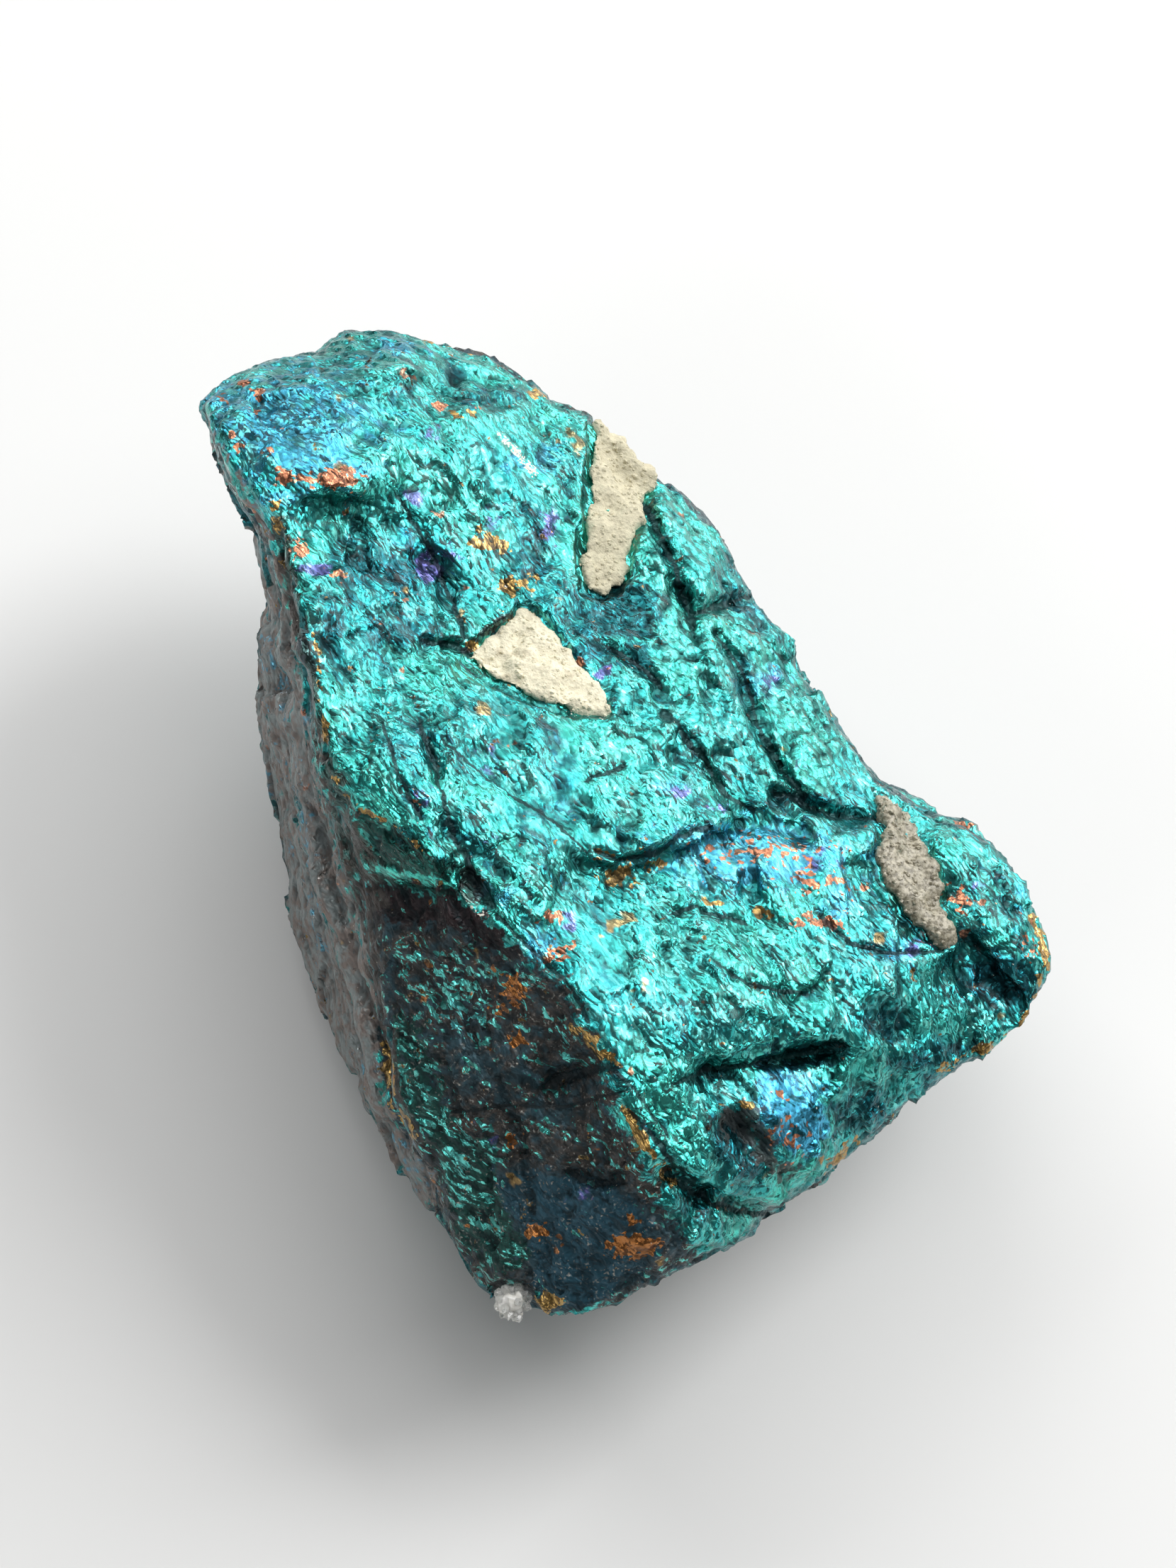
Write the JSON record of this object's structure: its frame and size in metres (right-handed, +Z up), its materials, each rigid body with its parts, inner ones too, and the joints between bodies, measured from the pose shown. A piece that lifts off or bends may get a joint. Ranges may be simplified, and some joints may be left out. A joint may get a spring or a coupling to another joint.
{
  "type": "peacock ore specimen",
  "caption": "Broken lump of peacock ore, tarnished turquoise and blue, with pale gangue and quartz in its hollows, lying on a small worn flat.",
  "frame": {"origin": "under the middle of the stone's box, on the table", "axes": "+Z up; +Y along the stone's longest side, from its low pointed tip to its broad end; +X from the high crest to the low lobe"},
  "size_m": [0.0412, 0.0502, 0.0249],
  "materials": {
    "tarnished_ore": "crinkled iridescent tarnish",
    "upper_gangue": "dull and granular",
    "middle_gangue": "dull and granular",
    "seam_quartz": "sugary and slightly translucent",
    "tip_quartz": "clear to cloudy crystal"
  },
  "bodies": {
    "root": {"ore": "tarnished_ore", "gangue_upper": "upper_gangue", "gangue_middle": "middle_gangue", "quartz_seam": "seam_quartz", "quartz_tip": "tip_quartz"}
  },
  "joints": []
}
